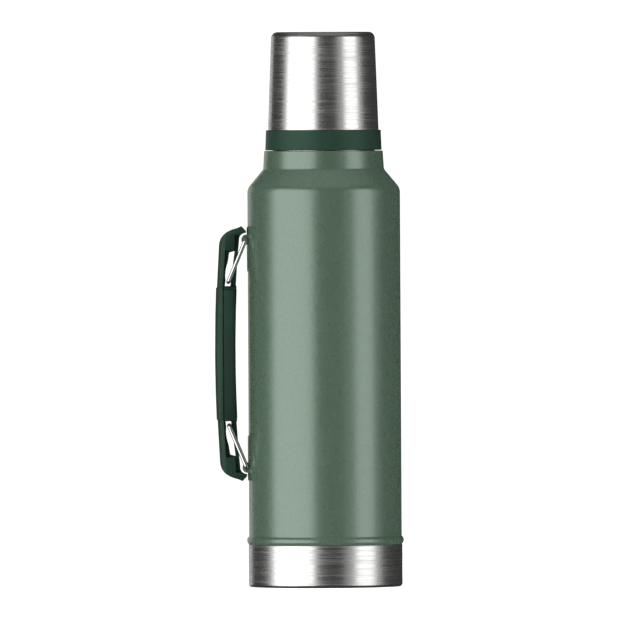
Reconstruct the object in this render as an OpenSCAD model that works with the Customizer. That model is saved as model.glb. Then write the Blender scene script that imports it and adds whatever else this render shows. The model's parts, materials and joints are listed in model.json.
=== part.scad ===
// Vacuum flask: a double-walled steel bottle with a screw-on drinking cup, a screw-in stopper
// and a side handle carried on two wire links.
// Millimetres. +Z is up, the origin is the centre of the base, the handle is on the -X side.

/* [Body] */
// Height of the whole flask with its cup on
overall_h = 366; // [365:0.5:370]
// Outside diameter of the painted body
body_d = 100.8; // [100:0.1:102]
// Height of the brushed base cover
base_h = 27.8; // [25:0.1:29]
// How far the base cover stands out from the painted body
base_step = 0.5; // [0.3:0.1:0.8]
// Height of the rolled bead above the base cover
bead_h = 5.5; // [4.8:0.1:5.8]
// How far the bead stands out from the body
bead_proud = 1.4; // [1:0.1:1.8]
// Height where the body and the sloping shoulder would meet
shoulder_z = 262.8; // [262:0.1:264]
// Slope of the shoulder from vertical
shoulder_angle = 39.8; // [38:0.1:41]
// Height of the ledge on top of the painted collar
collar_z = 287.6; // [286:0.1:289]
// Outside diameter of the collar at its top
collar_d = 78.4; // [78:0.1:79]
// Thickness of the outer steel sheet
sheet_t = 0.8; // [0.6:0.1:1]

/* [Liner] */
// Inside diameter of the liner
liner_d = 73.8; // [70:0.1:75]
// Inside diameter of the neck, behind its thread
mouth_d = 52.4; // [52:0.1:53]
// Inside diameter of the throat below the stopper's ledge
throat_d = 46; // [45.8:0.1:47]
// Thickness of the liner sheet
liner_t = 0.6; // [0.5:0.1:0.8]

/* [Cup] */
// Outside diameter of the steel cup at its rim
cup_rim_d = 73; // [72.6:0.1:73.6]
// Outside diameter of the steel cup at its closed end
cup_top_d = 68.6; // [68:0.1:69.4]
// Radius of the edge round the closed end
cup_edge_r = 4.2; // [3.5:0.1:5]
// Outside diameter of the plastic band at its lower edge
band_d = 76.8; // [76.4:0.1:77.6]
// Height of the plastic band
band_h = 13.3; // [12.8:0.1:13.6]

/* [Handle] */
// Width of the handle's two ends
handle_w = 22; // [20:0.5:22]
// Height of the middle of the handle
handle_z = 154; // [150:0.5:158]
// Thickness of the link wire
wire_d = 2.8; // [2.6:0.1:2.8]
// Half the distance between the two link pivots
pivot_dz = 75.25; // [75:0.05:75.5]
// Angle of each link from vertical when the handle is against the body
link_angle = 22.6; // [22.5:0.1:22.8]
// Distance from each link's pivot to its cross bar
link_len = 30.1; // [29.9:0.1:30.2]

/* [Hidden] */

paint_green = "#6f8675";
dark_green = "#24372e";
bright_steel = "#c9cbcc";
dull_steel = "#9a9da0";

$fn = 96;
weld_gap = 0.05;            // clearance left between pieces that are welded or bonded
run_gap = 0.05;             // clearance of a shaft in its hole
cut = 1;                    // how far a cutting shape runs past the face it cuts

body_r = body_d / 2;
base_r = body_r + base_step;
base_t = 0.6;
collar_r = collar_d / 2;
skirt_r = base_r - base_t - 0.4;
liner_r = liner_d / 2;
mouth_r = mouth_d / 2;
throat_r = throat_d / 2;

neck_r = 33.7;              // outside of the threaded neck, without its thread
rim_z = collar_z + 13.9;    // top of the pouring mouth
ledge_z = rim_z - 35.5;     // ledge that the stopper's seal closes on

cup_base_z = collar_z + 0.4;
band_top_z = cup_base_z + band_h;
cup_rim_r = cup_rim_d / 2;
cup_top_r = cup_top_d / 2;
cup_t = 0.6;

seal_z = [ledge_z + 0.15, ledge_z + 2.55];
stopper_r = 24;
stopper_bore_r = 21.5;
flange_z = rim_z + 0.5;
cap_z = flange_z + 2.6;

pivot_x = -1.15;            // the handle and its links are drawn from the body wall outwards
plate_t = 0.5;
housing_half_w = 11;
leg_y = housing_half_w + 0.5 + wire_d / 2;
bend_r = leg_y - housing_half_w - 0.1;

bow_r = 1080;               // the handle's back is a long arc of this radius
back_x = -21.25;
part_x = -15.9;             // parting line between the two halves of the grip
core_back_x = -19.6;
core_x = -10.2;
core_half_w = handle_w / 2 - 1.4;
cover_half_h = 43.5;
pad_half_h = 42.3;
block_dz = 42.5;            // where the solid end of the handle begins
slot_dz = [43.8, 67.2];
slot_near_x = [-15.25, -11.65];     // the slot's two edges at its end by the grip
slot_far_x = [-12.1, -8.6];         // and at its other end
slot_slant = 0.5;           // that other end leans by this much each way
swing = 42;                 // how far each link turns when the handle is pulled out
pull = 17.6;

// Points of an arc about [x, y], from angle a0 to angle a1.
function arc(x, y, r, a0, a1, n = 8) =
    [for (i = [0:n]) let (a = a0 + (a1 - a0) * i / n) [x + r * cos(a), y + r * sin(a)]];

// Points of a cubic curve with its two end tangents.
function curve(p0, p1, p2, p3, n = 10) =
    [for (i = [0:n]) let (t = i / n, s = 1 - t)
        s * s * s * p0 + 3 * s * s * t * p1 + 3 * s * t * t * p2 + t * t * t * p3];

module revolve() rotate_extrude($fn = 180) children();

module ring(r_out, r_in, z0, z1) {
    translate([0, 0, z0]) difference() {
        cylinder(r = r_out, h = z1 - z0, $fn = 180);
        translate([0, 0, -cut]) cylinder(r = r_in, h = z1 - z0 + 2 * cut, $fn = 180);
    }
}

module both_sides() {
    children();
    mirror([0, 1, 0]) children();
}

// One screw-thread ridge, from the wall at wall_r to a crest at crest_r, fading out at both ends.
module thread_ridge(wall_r, crest_r, z0, pitch, turns, width) {
    per_turn = 36;
    steps = ceil(turns * per_turn);
    fade_steps = 6;
    lowest = 0.35;
    outward = crest_r > wall_r;
    root_r = outward ? wall_r - 0.25 : wall_r + 0.35;
    sections = [for (i = [0:steps])
        let (a = 360 * i / per_turn,
             fade = max(lowest, min(1, i / fade_steps, (steps - i) / fade_steps)),
             tip_r = wall_r + (crest_r - wall_r) * fade,
             z = z0 + pitch * i / per_turn)
        [for (p = [[root_r, -width / 2], [tip_r, -width / 5], [tip_r, width / 5], [root_r, width / 2]])
            [p[0] * cos(a), p[0] * sin(a), z + p[1]]]];
    side = outward ? [3, 2, 1, 0] : [0, 1, 2, 3];
    polyhedron(
        points = [for (s = sections) each s],
        faces = concat(
            [[for (k = [0:3]) side[k]]],
            [[for (k = [3:-1:0]) steps * 4 + side[k]]],
            [for (i = [0:steps - 1], k = [0:3], half = [0, 1])
                let (a = i * 4 + side[k], b = i * 4 + side[(k + 1) % 4])
                half == 0 ? [a, a + 4, b] : [b, a + 4, b + 4]]));
}

// ---- Body ----

// Half section of the outer bottle, shrunk by inset: skirt, bead, body, shoulder and collar.
module shell_outline(inset) {
    slope = tan(shoulder_angle);
    collar_angle = 3.3;
    collar_slope = tan(collar_angle);
    foot_z = (body_r + shoulder_z * slope - collar_r - collar_z * collar_slope)
        / (slope - collar_slope);
    foot_r = collar_r + (collar_z - foot_z) * collar_slope;
    round_r = 8;
    round_drop = round_r * tan(shoulder_angle / 2);
    hollow_r = 3.5;
    hollow_rise = hollow_r * tan((shoulder_angle - collar_angle) / 2);
    bead_r = (pow(bead_h / 2, 2) + pow(bead_proud, 2)) / (2 * bead_proud);
    bead_angle = asin(bead_h / 2 / bead_r);
    edge_r = 0.6;
    polygon(concat(
        [[0, 0], [skirt_r - inset, 0], [skirt_r - inset, base_h + 0.1]],
        arc(body_r + bead_proud - bead_r, base_h + bead_h / 2, bead_r - inset,
            -bead_angle * 0.97, bead_angle * 0.97),
        [[body_r - inset, base_h + bead_h + 0.3]],
        arc(body_r - round_r, shoulder_z - round_drop, round_r - inset, 0, shoulder_angle),
        arc(foot_r + hollow_r * cos(collar_angle) - hollow_rise * sin(collar_angle),
            foot_z + hollow_r * sin(collar_angle) + hollow_rise * cos(collar_angle),
            hollow_r + inset, 180 + shoulder_angle, 180 + collar_angle),
        arc(collar_r - edge_r - inset, collar_z - edge_r - inset, edge_r, collar_angle, 90, 4),
        [[0, collar_z - inset]]));
}

module outer_shell() {
    skirt_z = 3;
    color(paint_green) revolve() difference() {
        shell_outline(0);
        shell_outline(sheet_t);
        translate([-cut, -cut]) square([neck_r + weld_gap + cut, collar_z + 2 * cut]);
        translate([0, -cut]) square([body_r + 2, skirt_z + cut]);
    }
}

module base_cup() {
    edge_r = 2;
    lip_r = 0.3;
    groove_r = [30, 36];
    groove_depth = 0.35;
    color(bright_steel) revolve() difference() {
        polygon(concat([[0, 0]], arc(base_r - edge_r, edge_r, edge_r, -90, 0),
            arc(base_r - lip_r, base_h - lip_r, lip_r, 0, 90, 4), [[0, base_h]]));
        polygon(concat([[-cut, base_t]], arc(base_r - edge_r, edge_r, edge_r - base_t, -90, 0),
            [[base_r - base_t, base_h + cut], [-cut, base_h + cut]]));
        polygon([[groove_r[0], -cut], [groove_r[0], 0], [groove_r[0] + 1, groove_depth],
            [groove_r[1] - 1, groove_depth], [groove_r[1], 0], [groove_r[1], -cut]]);
    }
}

module threaded_neck() {
    wall = 1;
    foot_z = collar_z - 3;
    inner_r = mouth_r + liner_t + weld_gap;
    lip_r = 1.2;
    color(dull_steel) union() {
        revolve() difference() {
            polygon(concat([[inner_r, foot_z], [neck_r, foot_z], [neck_r, rim_z - 2.6]],
                arc(neck_r - 1 - lip_r, rim_z - lip_r, lip_r, 0, 90, 5), [[inner_r, rim_z]]));
            polygon([[inner_r - cut, foot_z - cut], [neck_r - wall, foot_z - cut],
                [neck_r - wall, rim_z - 3], [neck_r - 2.4, rim_z - wall], [inner_r - cut, rim_z - wall]]);
        }
        thread_ridge(neck_r, neck_r + 0.8, collar_z + 2.4, 6, 1.3, 2.2);
    }
}

// Half section of the liner, shrunk by inset: wall, shoulder, throat, ledge and mouth.
module liner_outline(inset) {
    wall_r = liner_r + liner_t - inset;
    waist_r = throat_r + liner_t - inset;
    lip_r = mouth_r + liner_t - inset;
    round_r = 14;
    turn = 50;
    round_z = ledge_z - 27;
    slope_r = liner_r + liner_t - round_r + (round_r - inset) * cos(turn);
    slope_z = round_z + (round_r - inset) * sin(turn);
    polygon(concat(
        [[0, 20], [wall_r, 20]],
        arc(liner_r + liner_t - round_r, round_z, round_r - inset, 0, turn),
        [[waist_r, slope_z + (slope_r - waist_r) / tan(turn)],
         [waist_r, ledge_z - liner_t + inset], [lip_r, ledge_z - liner_t + inset],
         [lip_r, rim_z], [0, rim_z]]));
}

module inner_vessel() {
    color(bright_steel) union() {
        revolve() difference() {
            liner_outline(0);
            liner_outline(liner_t);
        }
        thread_ridge(mouth_r, mouth_r - 0.8, ledge_z + 8, 8, 2.3, 2.8);
    }
}

module inner_bottom() {
    edge_r = liner_r - weld_gap;
    drop = 6;
    dish_r = (edge_r * edge_r + drop * drop) / (2 * drop);
    dish_angle = asin(edge_r / dish_r);
    dish_z = 22 - drop + dish_r;
    color(bright_steel) revolve() polygon(concat(
        arc(0, dish_z, dish_r, -90 + dish_angle, -90),
        arc(0, dish_z, dish_r - liner_t, -90, -90 + dish_angle)));
}

module outer_bottom() {
    plate_r = skirt_r - sheet_t - weld_gap;
    plate_z = 4.2;
    rise = 2;
    color(dull_steel) revolve() polygon([[1.5, plate_z + rise], [5, plate_z + rise], [6, plate_z],
        [plate_r, plate_z], [plate_r, plate_z + 5], [plate_r - sheet_t, plate_z + 5],
        [plate_r - sheet_t, plate_z + sheet_t], [6.5, plate_z + sheet_t],
        [5.5, plate_z + rise + sheet_t], [1.5, plate_z + rise + sheet_t]]);
}

module vacuum_seal() {
    bead_r = 4.2;
    top_z = 6.15;
    stem_r = 1.45;
    color("#6b6f70") revolve() polygon(concat(
        [[0, top_z + 0.8], [stem_r, top_z + 0.8], [stem_r, top_z]],
        [for (a = [0:10:90]) [bead_r * cos(a), top_z - 1.5 * sin(a)]]));
}

module getter() {
    color("#8d8f90") translate([18, 0, 5 + weld_gap]) cylinder(r = 5, h = 2.2);
}

module radiation_shield() {
    color("#c8cfd3") ring(liner_r + liner_t + 1.2, liner_r + liner_t + 1, 30, ledge_z - 32);
}

// ---- Brackets and links ----

// A thin plate bent round the body, wider at the end that holds the pivot.
module bracket_plate() {
    wide = 24;
    narrow = 19.5;
    corner_r = 4;
    far_z = 8.3;
    near_z = -21;
    color(paint_green) intersection() {
        ring(body_r + weld_gap + plate_t, body_r + weld_gap, near_z - cut, far_z + cut);
        translate([-body_r - 2, 0, 0]) rotate([90, 0, 90]) linear_extrude(body_r) polygon(concat(
            arc(wide - corner_r, far_z - corner_r, corner_r, 0, 90),
            arc(corner_r - wide, far_z - corner_r, corner_r, 90, 180),
            arc(corner_r - narrow, near_z + corner_r, corner_r, 180, 270),
            arc(narrow - corner_r, near_z + corner_r, corner_r, 270, 360)));
    }
}

module hump(r, half_w) {
    hump_x = pivot_x + 0.4;
    rotate([90, 0, 0]) translate([0, 0, -half_w]) linear_extrude(2 * half_w) union() {
        translate([hump_x, 0]) circle(r);
        translate([hump_x, -r]) square([5, 2 * r]);
    }
}

// A hump on the bracket whose two end walls carry the bent-in ends of the link.
module pivot_housing() {
    color(paint_green) difference() {
        translate([-body_r, 0, 0]) difference() {
            hump(3.3, housing_half_w);
            hump(2.5, housing_half_w - 1);
            translate([pivot_x, 0, 0]) rotate([90, 0, 0])
                cylinder(r = wire_d / 2 + run_gap, h = 3 * housing_half_w, center = true);
        }
        translate([0, 0, -10]) cylinder(r = body_r + plate_t + 2 * weld_gap, h = 20, $fn = 180);
    }
}

// Half of the wire link, with its pivot end on the Y axis and its cross bar link_len below.
module link_half() {
    end_y = housing_half_w - 1.05;
    straight_y = leg_y - bend_r;
    translate([0, end_y, 0]) rotate([-90, 0, 0]) cylinder(d = wire_d, h = straight_y - end_y);
    translate([0, straight_y, -bend_r]) rotate([90, 0, 90])
        rotate_extrude(angle = 90) translate([bend_r, 0]) circle(d = wire_d);
    translate([0, leg_y, bend_r - link_len]) cylinder(d = wire_d, h = link_len - 2 * bend_r);
    translate([0, straight_y, bend_r - link_len]) rotate([0, 90, 0])
        rotate_extrude(angle = 90) translate([bend_r, 0]) circle(d = wire_d);
    translate([0, 0, -link_len]) rotate([-90, 0, 0]) cylinder(d = wire_d, h = straight_y);
}

module link() {
    color(bright_steel) translate([-body_r + pivot_x, 0, 0]) rotate([0, link_angle, 0])
        both_sides() link_half();
}

module at_upper_pivot() translate([0, 0, handle_z + pivot_dz]) children();

module at_lower_pivot() translate([0, 0, handle_z - pivot_dz]) mirror([0, 0, 1]) children();

module upper_bracket() at_upper_pivot() bracket_plate();

module lower_bracket() at_lower_pivot() bracket_plate();

module upper_pivot_housing() at_upper_pivot() pivot_housing();

module lower_pivot_housing() at_lower_pivot() pivot_housing();

module upper_link() at_upper_pivot() link();

module lower_link() at_lower_pivot() link();

// ---- Handle ----

// Centre of the cross bar, seen from the handle, at part t of its travel along the slot.
function bar_at(t) = let (a = link_angle + t * swing)
    [pivot_x - link_len * sin(a) + t * pull, pivot_dz - link_len * cos(a)];

// A long bar with a bowed, rounded back: x is the middle of its back, depth its thickness.
module bowed_bar(x, half_w, depth, edge_r) {
    spread = 10;
    translate([x + bow_r, 0, 0]) rotate([90, 0, 0]) rotate([0, 0, 180 - spread / 2])
        rotate_extrude(angle = spread, $fn = 720) polygon(concat(
            [[bow_r - depth, -half_w], [bow_r - edge_r, -half_w]],
            arc(bow_r - edge_r, edge_r - half_w, edge_r, -75, 0, 6),
            arc(bow_r - edge_r, half_w - edge_r, edge_r, 0, 75, 6),
            [[bow_r - edge_r, half_w], [bow_r - depth, half_w]]));
}

module side_cut(points, y0, y1) {
    translate([0, y1, 0]) rotate([90, 0, 0]) linear_extrude(y1 - y0) polygon(points);
}

// Outline of the solid end of the handle, from the grip up to the tip that hugs the body.
function end_outline() = concat(
    [[part_x, block_dz], [part_x, cover_half_h + weld_gap], [-30, cover_half_h + weld_gap],
     [-30, 71.9], [-18.8, 71.9]],
    curve([-18.8, 71.9], [-18.5, 77.4], [-14.05, 80.9], [-8.75, 82.3]),
    [[-6.1, 83.1], [-4.5, 83.9], [-4, 83.95], [-3.6, 83.65], [-1, 80.8], [-1, pivot_dz],
     [-5.5, pivot_dz], [-5.95, 70.5], [-6.5, 65], [-7.2, 55], [-7.85, 45], [-7.45, 44.4],
     [-7.45, block_dz]]);

// The slot is straight on the body side; its other side bulges where the cross bar needs room.
function slot_back_x(z) = slot_near_x[0]
    + (slot_far_x[0] - slot_near_x[0]) * (z - slot_dz[0]) / (slot_dz[1] - slot_dz[0]);

function slot_outline() = concat(
    [[slot_near_x[1], slot_dz[0]], [slot_near_x[0], slot_dz[0]]],
    [for (i = [0:10]) let (bar = bar_at(i / 10))
        [min(slot_back_x(bar[1]), bar[0] - wire_d / 2 - 0.2), bar[1]]],
    [[slot_far_x[0], slot_dz[1] - slot_slant], [slot_far_x[1], slot_dz[1] + slot_slant]]);

function recess_outline() =
    [[-16.3, slot_dz[0]], [-14.8, 68.2], [-8.8, 68.4], [-8.3, 78.5], [0, 78.5], [0, slot_dz[0]]];

module handle_end() {
    half_w = handle_w / 2;
    recess_depth = 4;
    difference() {
        side_cut(end_outline(), -half_w, half_w);
        translate([pivot_x, 0, pivot_dz]) rotate([90, 0, 0])
            cylinder(r = 4.4, h = handle_w + 2 * cut, center = true);
        side_cut(slot_outline(), -half_w - cut, half_w + cut);
        both_sides() side_cut(recess_outline(), half_w - recess_depth, half_w + cut);
    }
}

// The bar inside the grip that its two halves close round.
module grip_core(x, half_w, half_h) {
    intersection() {
        bowed_bar(x, half_w, 30, 1);
        translate([-40, -half_w - cut, -half_h])
            cube([core_x + 40, 2 * (half_w + cut), 2 * half_h]);
    }
}

module on_body() translate([-body_r, 0, handle_z]) children();

module handle_spine() {
    color(dark_green) on_body() union() {
        intersection() {
            bowed_bar(back_x, handle_w / 2, 40, 4);
            union() {
                handle_end();
                mirror([0, 0, 1]) handle_end();
            }
        }
        grip_core(core_back_x, core_half_w, cover_half_h + 1);
    }
}

module grip_cover() {
    half_w = handle_w / 2 + 0.5;
    color(dark_green) on_body() difference() {
        intersection() {
            bowed_bar(back_x - 0.57, half_w, 30, 4.5);
            translate([-40, -half_w - cut, -cover_half_h])
                cube([part_x - 0.5 + 40, 2 * (half_w + cut), 2 * cover_half_h]);
        }
        grip_core(core_back_x - weld_gap, core_half_w + weld_gap, 60);
    }
}

module grip_pad() {
    half_w = handle_w / 2 + 0.2;
    edge_r = 3;
    pad_x = -8.25;
    pad_bow = 0.95;
    edge_x = pad_x + pad_bow - edge_r;
    hollow_w = core_half_w + weld_gap;
    steps = 8;
    color(dark_green) on_body() difference() {
        intersection() {
            translate([0, 0, -pad_half_h]) linear_extrude(2 * pad_half_h) polygon(concat(
                [[part_x, -half_w]], arc(edge_x, edge_r - half_w, edge_r, -90, 0),
                arc(edge_x, half_w - edge_r, edge_r, 0, 90), [[part_x, half_w]]));
            side_cut(concat([[part_x - cut, -pad_half_h - cut]],
                [for (i = [-steps:steps]) [pad_x + pad_bow * pow(i / steps, 2), pad_half_h * i / steps]],
                [[part_x - cut, pad_half_h + cut]]), -half_w - cut, half_w + cut);
        }
        translate([-30, -hollow_w, -pad_half_h - cut])
            cube([30 + core_x + weld_gap, 2 * hollow_w, 2 * (pad_half_h + cut)]);
    }
}

// ---- Cup ----

// Half section of a tapered, closed cup: radius r0 at z0, radius r1 at the closed end z1.
function cup_outline(r0, z0, r1, z1, edge_r) = concat(
    [[0, z0], [r0, z0]], arc(r1 - edge_r, z1 - edge_r, edge_r, 2, 90), [[0, z1]]);

module cup_shell() {
    color(bright_steel) revolve() difference() {
        polygon(cup_outline(cup_rim_r, band_top_z + 0.1, cup_top_r, overall_h, cup_edge_r));
        polygon(cup_outline(cup_rim_r - cup_t, band_top_z, cup_top_r - cup_t,
            overall_h - cup_t, cup_edge_r - cup_t));
    }
}

module cup_liner() {
    bore_r = 35.9;
    edge_r = 0.5;
    band_r = band_d / 2;
    band_top_r = band_r - 0.45;
    seat_z = band_top_z - 0.7;
    liner_z = overall_h - 3;
    wall = 2;
    color(dark_green) union() {
        revolve() difference() {
            union() {
                polygon(concat([[0, cup_base_z]],
                    arc(band_r - edge_r, cup_base_z + edge_r, edge_r, -90, 0, 4),
                    arc(band_top_r - edge_r, band_top_z - edge_r, edge_r, 0, 90, 4),
                    [[0, band_top_z]]));
                polygon(cup_outline(cup_rim_r - cup_t - weld_gap, band_top_z - cut,
                    cup_top_r - cup_t - weld_gap, liner_z, 3));
            }
            polygon([[0, cup_base_z - cut], [bore_r, cup_base_z - cut], [bore_r, seat_z - 1.6],
                [33.6, seat_z], [0, seat_z]]);
            polygon(cup_outline(33.6, seat_z - cut, cup_top_r - cup_t - wall, liner_z - wall, 2.5));
        }
        thread_ridge(bore_r, bore_r - 1, cup_base_z + 2.6, 6, 1.2, 2.2);
    }
}

// ---- Stopper ----

module stopper_body() {
    channel = [10, 1.5];
    flange_r = 27.5;
    color(dark_green) difference() {
        union() {
            ring(stopper_r, stopper_bore_r, seal_z[1] + weld_gap, flange_z + cut);
            translate([0, 0, flange_z]) cylinder(r = flange_r, h = 2.5, $fn = 180);
            thread_ridge(stopper_r, stopper_r + 0.9, ledge_z + 8, 8, 2, 2.8);
        }
        translate([stopper_r - channel[1], -channel[0] / 2, ledge_z])
            cube([5, channel[0], flange_z - ledge_z]);
    }
}

module stopper_plug() {
    waist = [22.6, 21.8, 21.4];
    foot_z = ledge_z - 2.5;
    color(dark_green) revolve() polygon(concat([[0, foot_z]],
        arc(waist[0] - 1, foot_z + 1, 1, -90, 0, 4),
        [[waist[0], seal_z[0] - weld_gap], [waist[1], seal_z[0] - weld_gap],
         [waist[1], seal_z[1]], [waist[2], seal_z[1]],
         [waist[2], seal_z[1] + 2.4], [0, seal_z[1] + 2.4]]));
}

module stopper_insulation() {
    color("#e6e2d6") translate([0, 0, seal_z[1] + 2.6])
        cylinder(r = stopper_bore_r - 0.3, h = flange_z - seal_z[1] - 2.8);
}

module stopper_seal() {
    half_h = (seal_z[1] - seal_z[0]) / 2;
    color("#2b2f2d") revolve() polygon(concat(
        [[21.9, seal_z[0]]], arc(25.1 - half_h, seal_z[0] + half_h, half_h, -90, 90), [[21.9, seal_z[1]]]));
}

module stopper_cap() {
    cap_r = 27;
    cap_h = 7.4;
    edge_r = 1.5;
    scallops = 24;
    dish_r = 20.5;
    dish_depth = 2.5;
    bar_w = 8;
    color(dark_green) difference() {
        revolve() polygon(concat([[0, cap_z], [cap_r - 0.4, cap_z], [cap_r, cap_z + 0.4]],
            arc(cap_r - edge_r, cap_z + cap_h - edge_r, edge_r, 0, 90), [[0, cap_z + cap_h]]));
        for (i = [0:scallops - 1])
            rotate([0, 0, i * 360 / scallops]) translate([cap_r + 0.9, 0, cap_z - cut])
                cylinder(r = 1.7, h = cap_h + 2 * cut);
        translate([0, 0, cap_z + cap_h - dish_depth]) difference() {
            cylinder(r = dish_r, h = dish_depth + cut);
            translate([-dish_r - cut, -bar_w / 2, -cut])
                cube([2 * (dish_r + cut), bar_w, dish_depth + 3 * cut]);
        }
    }
}

outer_shell();
base_cup();
threaded_neck();
inner_vessel();
inner_bottom();
outer_bottom();
vacuum_seal();
getter();
radiation_shield();
upper_bracket();
lower_bracket();
upper_pivot_housing();
lower_pivot_housing();
upper_link();
lower_link();
handle_spine();
grip_cover();
grip_pad();
cup_shell();
cup_liner();
stopper_body();
stopper_plug();
stopper_insulation();
stopper_seal();
stopper_cap();
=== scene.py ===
# Vacuum flask with a side handle on two wire links: materials, rounded pieces, light and camera.
import json
import math

import bmesh
import bpy
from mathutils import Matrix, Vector

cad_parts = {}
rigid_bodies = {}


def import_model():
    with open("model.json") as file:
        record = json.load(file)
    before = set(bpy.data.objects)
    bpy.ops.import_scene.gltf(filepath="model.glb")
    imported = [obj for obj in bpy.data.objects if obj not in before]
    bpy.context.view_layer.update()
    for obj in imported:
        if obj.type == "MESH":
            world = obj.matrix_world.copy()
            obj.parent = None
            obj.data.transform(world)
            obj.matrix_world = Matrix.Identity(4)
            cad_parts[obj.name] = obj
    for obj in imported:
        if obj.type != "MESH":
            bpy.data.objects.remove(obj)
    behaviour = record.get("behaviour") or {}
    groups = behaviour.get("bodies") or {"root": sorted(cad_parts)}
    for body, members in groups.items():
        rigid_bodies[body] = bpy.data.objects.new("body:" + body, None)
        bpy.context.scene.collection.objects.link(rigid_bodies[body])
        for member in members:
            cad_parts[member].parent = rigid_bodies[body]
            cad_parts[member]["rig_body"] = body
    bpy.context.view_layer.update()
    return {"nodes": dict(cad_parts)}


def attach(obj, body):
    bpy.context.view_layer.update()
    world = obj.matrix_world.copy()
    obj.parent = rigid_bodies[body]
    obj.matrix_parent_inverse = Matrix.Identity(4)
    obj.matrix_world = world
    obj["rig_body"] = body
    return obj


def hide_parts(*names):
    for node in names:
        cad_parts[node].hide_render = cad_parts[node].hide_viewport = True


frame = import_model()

nodes = frame["nodes"]

MM = 0.001

# Rounded pieces.
MERGE_DISTANCE = 1e-6
FLAT_ANGLE = math.radians(1)      # faces that turn less than this are joined into one
SHARP_ANGLE = math.radians(40)    # edges that turn more than this are rounded
BEVEL_SEGMENTS = 3

# Surroundings.
BACKDROP_LEVEL = 1.1              # the world's brightness behind the object
AMBIENT_LEVEL = 0.045             # and as it lights everything else
FLOOR_RADIUS = 1.4
FLOOR_SEGMENTS = 96
FLOOR_DROP = 0.2 * MM             # keeps the floor's face off the base's


# ---------------------------------------------------------------- node helpers

class Graph:
    """A material's node tree, with short ways to add and link nodes."""

    def __init__(self, name):
        self.material = bpy.data.materials.new(name)
        self.material.use_nodes = True
        self.tree = self.material.node_tree
        self.shader = self.tree.nodes["Principled BSDF"]

    def add(self, kind, inputs=None, **settings):
        node = self.tree.nodes.new(kind)
        for key, value in settings.items():
            setattr(node, key, value)
        for key, value in (inputs or {}).items():
            self.feed(node.inputs[key], value)
        return node

    def feed(self, socket, value):
        """Links a node's output to a socket, or sets the socket to a plain value."""
        if isinstance(value, bpy.types.NodeSocket):
            self.tree.links.new(value, socket)
        else:
            socket.default_value = value

    def set(self, **inputs):
        """Feeds the shader's own sockets; an underscore stands for a space in a name."""
        for key, value in inputs.items():
            self.feed(self.shader.inputs[key.replace("_", " ")], value)

    def coords(self):
        return self.add("ShaderNodeTexCoord").outputs["Object"]

    def turned_coords(self, along, across):
        """Coordinates for lines that run round the Z axis: long along them, fine across them."""
        coords = self.coords()
        xyz = self.add("ShaderNodeSeparateXYZ", {"Vector": coords})
        flat = self.add("ShaderNodeVectorMath", {0: coords, 1: (1, 1, 0)}, operation="MULTIPLY")
        radius = self.add("ShaderNodeVectorMath", {0: flat.outputs["Vector"]}, operation="LENGTH")
        line = self.sum(xyz.outputs["Z"], radius.outputs["Value"], 1.0)
        combined = self.add("ShaderNodeCombineXYZ", {"X": xyz.outputs["X"],
                                                     "Y": xyz.outputs["Y"], "Z": line})
        mapping = self.add("ShaderNodeMapping", {"Vector": combined.outputs["Vector"],
                                                 "Scale": (along, along, across)})
        return mapping.outputs["Vector"]

    def noise(self, scale, detail=2.0, roughness=0.5, vector=None):
        node = self.add("ShaderNodeTexNoise", {"Vector": vector or self.coords(), "Scale": scale,
                                               "Detail": detail, "Roughness": roughness})
        return node.outputs["Fac"]

    def cells(self, scale, smoothness=None):
        """Distance to the nearest of many scattered points, smoothed where smoothness is given."""
        inputs = {"Vector": self.coords(), "Scale": scale}
        if smoothness is None:
            node = self.add("ShaderNodeTexVoronoi", inputs)
        else:
            inputs["Smoothness"] = smoothness
            node = self.add("ShaderNodeTexVoronoi", inputs, feature="SMOOTH_F1")
        return node.outputs["Distance"]

    def spread(self, value, low, high, from_low=0.3, from_high=0.7):
        """Maps from_low..from_high, by default a noise's usual range, to low..high."""
        node = self.add("ShaderNodeMapRange", {"Value": value, "From Min": from_low,
                                               "From Max": from_high, "To Min": low,
                                               "To Max": high})
        return node.outputs["Result"]

    def blend(self, first, second, value, from_low=0.3, from_high=0.7):
        """The colour first where value is low, second where it is high."""
        node = self.add("ShaderNodeMix", data_type="RGBA")
        self.feed(node.inputs["Factor"], self.spread(value, 0.0, 1.0, from_low, from_high))
        self.feed(node.inputs["A"], (*first, 1))
        self.feed(node.inputs["B"], (*second, 1))
        return node.outputs["Result"]

    def sum(self, first, second, weight):
        """first + second * weight."""
        node = self.add("ShaderNodeMath", {0: second, 1: weight, 2: first},
                        operation="MULTIPLY_ADD")
        return node.outputs["Value"]

    def bump(self, height, depth, strength, under=None):
        """The normal of a surface of the given depth, laid over another one if there is one."""
        inputs = {"Height": height, "Distance": depth, "Strength": strength}
        if under is not None:
            inputs["Normal"] = under
        return self.add("ShaderNodeBump", inputs).outputs["Normal"]


def darker(colour, share):
    return tuple(channel * share for channel in colour)


# ---------------------------------------------------------------- materials

def hammertone_green():
    """Powder coat with the small soft dimples of a hammered finish."""
    g = Graph("hammertone_green")
    dimples = g.cells(800.0, smoothness=0.8)
    clouds = g.noise(130.0, 3.0)
    grain = g.noise(2600.0)
    tone = g.sum(clouds, dimples, 0.6)
    dents = g.bump(dimples, 0.2 * MM, 0.05)
    g.set(Base_Color=g.blend((0.0475, 0.0800, 0.0535), (0.0520, 0.0860, 0.0575), tone, 0.4, 1.1),
          Roughness=g.spread(clouds, 0.26, 0.29), IOR=2.08,
          Specular_Tint=(0.84, 1.0, 0.89, 1.0),
          Normal=g.bump(grain, 0.03 * MM, 0.15, dents))
    return g.material


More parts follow.
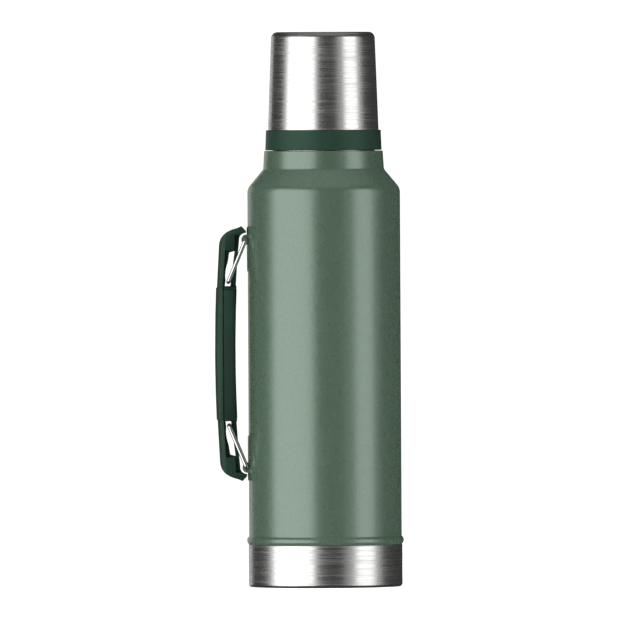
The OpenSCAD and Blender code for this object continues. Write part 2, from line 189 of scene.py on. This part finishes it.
def brushed_steel(name, base, rough, line_depth, anisotropy):
    """Steel brushed round the axis."""
    g = Graph(name)
    fine = g.noise(1.0, 3.0, 0.65, g.turned_coords(30.0, 3400.0))
    broad = g.noise(1.0, 3.0, 0.6, g.turned_coords(14.0, 1250.0))
    streaks = g.sum(fine, broad, 0.9)
    tangent = g.add("ShaderNodeTangent", direction_type="RADIAL", axis="Z")
    g.set(Base_Color=g.blend(darker(base, 0.80), base, streaks, 0.72, 1.08), Metallic=1.0,
          Roughness=g.spread(streaks, rough * 1.35, rough * 0.8, 0.75, 1.1),
          Anisotropic=anisotropy, Tangent=tangent.outputs["Tangent"],
          Normal=g.bump(streaks, line_depth, 0.35))
    return g.material


def polished_wire():
    """Bright drawn wire, slightly smudged."""
    g = Graph("polished_wire")
    smudge = g.noise(420.0, 3.0, 0.6)
    g.set(Base_Color=g.blend((0.58, 0.58, 0.575), (0.68, 0.68, 0.67), smudge), Metallic=1.0,
          Roughness=g.spread(smudge, 0.10, 0.2), Normal=g.bump(g.noise(2400.0), 0.02 * MM, 0.3))
    return g.material


def moulded_plastic(name, low, high, rough, grain_scale, grain_depth):
    """Moulded plastic with a spark-eroded grain and slight wear of its gloss."""
    g = Graph(name)
    grain = g.noise(grain_scale, 3.0, 0.6)
    clouds = g.noise(38.0, 3.0, 0.55)
    wear_and_grain = g.sum(clouds, grain, 0.3)
    g.set(Base_Color=g.blend(low, high, clouds),
          Roughness=g.spread(wear_and_grain, rough - 0.05, rough + 0.06, 0.4, 0.9),
          Specular_IOR_Level=0.38, Specular_Tint=(0.6, 1.0, 0.79, 1.0),
          Normal=g.bump(grain, grain_depth, 0.35))
    return g.material


def silicone():
    """Matt dark silicone."""
    g = Graph("silicone")
    grain = g.noise(900.0)
    g.set(Base_Color=g.blend((0.020, 0.023, 0.022), (0.026, 0.029, 0.028), grain),
          Roughness=g.spread(grain, 0.5, 0.62), Normal=g.bump(grain, 0.03 * MM, 0.3))
    return g.material


def foam():
    """Cream foam with small cells."""
    g = Graph("foam")
    cells = g.cells(900.0)
    g.set(Base_Color=g.blend((0.72, 0.67, 0.56), (0.80, 0.76, 0.66), cells, 0.1, 0.9),
          Roughness=0.9, Normal=g.bump(cells, 0.3 * MM, 0.6))
    return g.material


def dull_metal(name, base, rough):
    """Metal with a cloudy, unpolished surface."""
    g = Graph(name)
    clouds = g.noise(240.0, 4.0, 0.6)
    g.set(Base_Color=g.blend(darker(base, 0.8), base, clouds), Metallic=1.0,
          Roughness=g.spread(clouds, rough - 0.06, rough + 0.08),
          Normal=g.bump(clouds, 0.1 * MM, 0.3))
    return g.material


def pale_floor():
    """Nearly white, and glowing so that it meets the white backdrop."""
    g = Graph("pale_floor")
    clouds = g.noise(3.0, 3.0)
    g.set(Base_Color=g.blend((0.86, 0.86, 0.85), (0.88, 0.88, 0.87), clouds), Roughness=0.8,
          Specular_IOR_Level=0.2, Emission_Color=(1, 1, 1, 1), Emission_Strength=0.75)
    return g.material


def wear(material, *names):
    """Puts a material on CAD nodes."""
    for name in names:
        slots = nodes[name].data.materials
        slots.clear()
        slots.append(material)


def dress():
    """Gives every CAD node its finished material."""
    wear(hammertone_green(), "outer_shell", "upper_bracket", "lower_bracket",
         "upper_pivot_housing", "lower_pivot_housing")
    wear(brushed_steel("brushed_steel", (0.63, 0.628, 0.615), rough=0.22,
                       line_depth=0.03 * MM, anisotropy=0.6),
         "base_cup", "cup_shell")
    wear(brushed_steel("drawn_steel", (0.58, 0.58, 0.57), rough=0.28,
                       line_depth=0.02 * MM, anisotropy=0.4),
         "threaded_neck", "inner_vessel", "inner_bottom", "outer_bottom")
    wear(polished_wire(), "upper_link", "lower_link")
    wear(moulded_plastic("green_plastic", (0.0100, 0.0280, 0.0180), (0.0116, 0.0315, 0.0205),
                         rough=0.50, grain_scale=1500.0, grain_depth=0.06 * MM),
         "cup_liner")
    # The handle's plastic is the cup liner's green made darker: painted shade for the dim light on
    # the handle's camera-facing side.
    wear(moulded_plastic("shade_darkened_grip_plastic", (0.0070, 0.0185, 0.0120), (0.0084, 0.0220, 0.0145),
                         rough=0.50, grain_scale=1100.0, grain_depth=0.09 * MM),
         "handle_spine", "grip_cover", "grip_pad")
    wear(moulded_plastic("stopper_plastic", (0.012, 0.020, 0.016), (0.015, 0.025, 0.020),
                         rough=0.44, grain_scale=1500.0, grain_depth=0.06 * MM),
         "stopper_body", "stopper_cap", "stopper_plug")
    wear(silicone(), "stopper_seal")
    wear(foam(), "stopper_insulation")
    wear(dull_metal("braze", (0.42, 0.43, 0.43), 0.45), "vacuum_seal")
    wear(dull_metal("getter_metal", (0.5, 0.51, 0.52), 0.4), "getter")
    wear(dull_metal("foil", (0.85, 0.86, 0.87), 0.22), "radiation_shield")


# ---------------------------------------------------------------- rounded pieces

def put(name, data):
    """Makes an object of a mesh, light or camera and puts it in the scene."""
    obj = bpy.data.objects.new(name, data)
    bpy.context.scene.collection.objects.link(obj)
    return obj


def softened(name, edge):
    """A copy of a CAD node with its sharp edges rounded off, in place of the plain node."""
    source = nodes[name]
    mesh = bpy.data.meshes.new("moulded_" + name)
    bm = bmesh.new()
    bm.from_mesh(source.data)
    bmesh.ops.remove_doubles(bm, verts=bm.verts, dist=MERGE_DISTANCE)
    bmesh.ops.dissolve_limit(bm, angle_limit=FLAT_ANGLE, verts=bm.verts, edges=bm.edges)
    bm.to_mesh(mesh)
    bm.free()
    mesh.materials.append(source.data.materials[0])
    mesh.shade_smooth()
    piece = put("moulded_" + name, mesh)
    bevel = piece.modifiers.new("edges", "BEVEL")
    bevel.width = edge
    bevel.segments = BEVEL_SEGMENTS
    bevel.limit_method = "ANGLE"
    bevel.angle_limit = SHARP_ANGLE
    bevel.harden_normals = True
    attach(piece, source["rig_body"])
    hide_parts(name)


def rounded_pieces():
    softened("handle_spine", 0.5 * MM)
    softened("grip_cover", 0.35 * MM)
    softened("grip_pad", 0.35 * MM)
    softened("stopper_cap", 0.3 * MM)


# ---------------------------------------------------------------- light, floor and camera

def polar(radius, azimuth):
    """A point at azimuth degrees from the camera's side (-Y), turning towards +X."""
    a = math.radians(azimuth)
    return Vector((radius * math.sin(a), -radius * math.cos(a), 0))


def aim(obj, target):
    """Turns a light's or a camera's face to a point."""
    direction = Vector(target) - obj.location
    obj.rotation_euler = direction.to_track_quat("-Z", "Y").to_euler()


def panel(name, width, height, radiance, place):
    """A flat light that the camera doesn't see, with the given brightness of its face."""
    light = bpy.data.lights.new(name, "AREA")
    light.shape = "RECTANGLE"
    light.size = width
    light.size_y = height
    light.energy = radiance * math.pi * width * height
    obj = put(name, light)
    obj.location = place
    obj.visible_camera = False
    return obj


def softbox(name, start, end, distance, low, high, radiance):
    """An upright panel that fills azimuths start..end as seen from the flask."""
    first = polar(distance, start)
    last = polar(distance, end)
    centre = (first + last) / 2
    centre.z = (low + high) / 2
    obj = panel(name, (last - first).length, high - low, radiance, centre)
    aim(obj, (0, 0, centre.z))
    return obj


def overhead(name, size, height, radiance):
    """A square panel straight above, facing down."""
    return panel(name, size, size, radiance, (0, 0, height))


def unmirrored(light):
    """Keeps a light out of reflections, so that it only softens the shade."""
    light.visible_glossy = False


def lights():
    """Two tall soft panels in front, each with a wide dim edge, and fill behind and above."""
    # name, azimuths, distance, lowest and highest Z, radiance
    softbox("key_left", -83, -17, 1.6, -0.8, 1.1, 1.7)
    softbox("key_left_edge", -93, -13, 1.9, -0.8, 1.3, 0.45)
    softbox("fill_right", 46, 78, 1.6, -0.8, 1.1, 1.55)
    softbox("fill_right_wide", 29, 92, 1.9, -0.8, 1.2, 0.34)
    softbox("rim_left", 178, 219, 2.4, -0.4, 0.8, 0.6)
    unmirrored(softbox("back_fill", 140, 220, 2.4, -0.4, 1.2, 1.2))
    # name, size, height, radiance
    unmirrored(overhead("top_fill", 1.5, 1.5, 4.0))
    overhead("ceiling", 1.8, 1.4, 0.2)


def world():
    """White behind the object, dim to everything else, as in a dark studio with a lit backdrop."""
    studio = bpy.data.worlds.new("studio")
    studio.use_nodes = True
    tree = studio.node_tree
    tree.nodes.clear()

    def background(level):
        node = tree.nodes.new("ShaderNodeBackground")
        node.inputs["Color"].default_value = (level, level, level, 1)
        return node.outputs["Background"]

    path = tree.nodes.new("ShaderNodeLightPath")
    mix = tree.nodes.new("ShaderNodeMixShader")
    out = tree.nodes.new("ShaderNodeOutputWorld")
    tree.links.new(path.outputs["Is Camera Ray"], mix.inputs[0])
    tree.links.new(background(AMBIENT_LEVEL), mix.inputs[1])
    tree.links.new(background(BACKDROP_LEVEL), mix.inputs[2])
    tree.links.new(mix.outputs[0], out.inputs["Surface"])
    bpy.context.scene.world = studio


def floor():
    """A pale disc that neither shows in the steel nor shades the lights below it."""
    mesh = bpy.data.meshes.new("floor")
    bm = bmesh.new()
    bmesh.ops.create_circle(bm, cap_ends=True, segments=FLOOR_SEGMENTS, radius=FLOOR_RADIUS)
    bm.to_mesh(mesh)
    bm.free()
    mesh.materials.append(pale_floor())
    obj = put("floor", mesh)
    obj.location.z = -FLOOR_DROP
    obj.visible_glossy = False
    obj.visible_shadow = False


def camera():
    """A long lens, almost level with the flask's middle."""
    distance = 14.0
    elevation = math.radians(0.65)
    roll = math.radians(0.3)
    view_width = 0.4092
    target = Vector((-0.0094, 0, 0.1825))
    lens = bpy.data.cameras.new("camera")
    lens.sensor_width = 36.0
    lens.lens = lens.sensor_width * distance / view_width
    lens.clip_start = 1.0
    lens.clip_end = 100.0
    obj = put("camera", lens)
    back = Vector((0, -math.cos(elevation), math.sin(elevation)))
    obj.location = target + back * distance
    aim(obj, target)
    obj.rotation_euler.rotate_axis("Z", -roll)
    bpy.context.scene.camera = obj


def plain_colours():
    """Shows the render's colours as they are, with no film look."""
    settings = bpy.context.scene.view_settings
    settings.view_transform = "Standard"
    settings.look = "None"


dress()
rounded_pieces()
lights()
world()
floor()
camera()
plain_colours()
